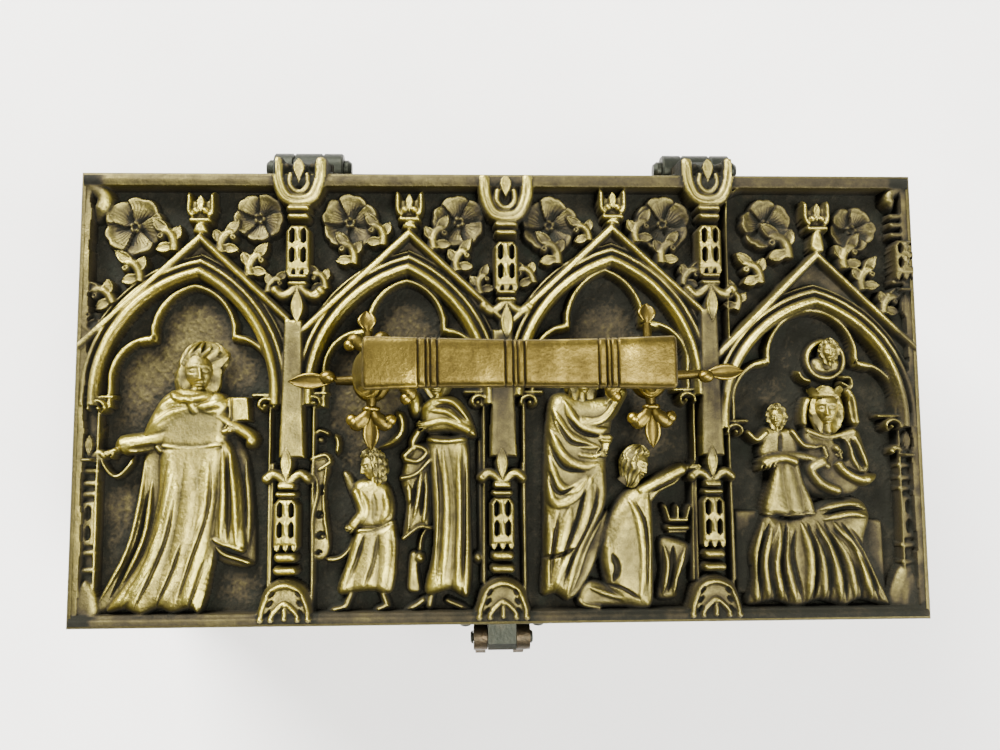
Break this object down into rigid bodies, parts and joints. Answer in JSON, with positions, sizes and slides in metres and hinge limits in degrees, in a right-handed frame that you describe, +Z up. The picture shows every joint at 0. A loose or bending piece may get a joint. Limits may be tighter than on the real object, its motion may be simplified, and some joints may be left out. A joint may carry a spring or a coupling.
{
  "type": "tabernacle box",
  "caption": "Rectangular cast metal casket with a hinged lid in Gothic relief, a fixed strap handle on fleury feet and a fork clasp.",
  "frame": {"origin": "centre of the underside, in the plane that rests on the table", "axes": "+Z up, +X to the right along the length, -Y the front with the clasp, +Y the back with the hinges"},
  "size_m": [0.206, 0.1252, 0.122],
  "materials": {
    "cast_bronze": "sand-cast relief, brown-black patina in the recesses with green traces, rubbed to yellow brass on the high points",
    "worn_brass": "handled cast brass, khaki with brushed mottling and brighter rubbed spots",
    "dark_patina": "nearly black green-brown patina, brown on the edges",
    "sheet_brass": "dull rolled sheet, lightly tarnished",
    "screw_steel": "browned steel screws"
  },
  "bodies": {
    "body": {"catch_plate": "dark_patina", "catch_rivets": "dark_patina", "catch_stud": "dark_patina", "corner_angle_back_left": "sheet_brass", "corner_angle_back_right": "sheet_brass", "corner_angle_front_left": "sheet_brass", "corner_angle_front_right": "sheet_brass", "corner_post_back_left": "cast_bronze", "corner_post_back_right": "cast_bronze", "corner_post_front_left": "cast_bronze", "corner_post_front_right": "cast_bronze", "corner_rivets": "sheet_brass", "floor_plate": "sheet_brass", "floor_screws": "screw_steel", "hinge_body_rivets": "dark_patina", "hinge_left_body_leaf": "dark_patina", "hinge_left_pin": "dark_patina", "hinge_right_body_leaf": "dark_patina", "hinge_right_pin": "dark_patina", "plinth_back": "cast_bronze", "plinth_front": "cast_bronze", "plinth_left": "cast_bronze", "plinth_right": "cast_bronze", "wall_back": "cast_bronze", "wall_front": "cast_bronze", "wall_left": "cast_bronze", "wall_right": "cast_bronze", "wall_screws": "screw_steel"},
    "lid": {"lid_casting": "cast_bronze", "hinge_left_lid_leaf": "dark_patina", "hinge_right_lid_leaf": "dark_patina", "hinge_lid_rivets": "dark_patina", "hasp_lug": "dark_patina", "hasp_lug_rivets": "dark_patina", "handle_grip": "worn_brass", "handle_cross_left": "worn_brass", "handle_cross_right": "worn_brass", "handle_screws": "screw_steel", "handle_washers": "sheet_brass", "hasp_pin": "dark_patina"},
    "hasp": {"hasp_fork": "dark_patina"}
  },
  "joints": [
    {"name": "lid_hinge", "type": "hinge", "parent": "body", "child": "lid", "pos_m": [0, 0.0579, 0.072], "axis": [-1, 0, 0], "range_deg": [0, 105]},
    {"name": "hasp_swing", "type": "hinge", "parent": "lid", "child": "hasp", "pos_m": [-0.0007, -0.0574, 0.076], "axis": [-1, 0, 0], "range_deg": [0, 120]}
  ]
}
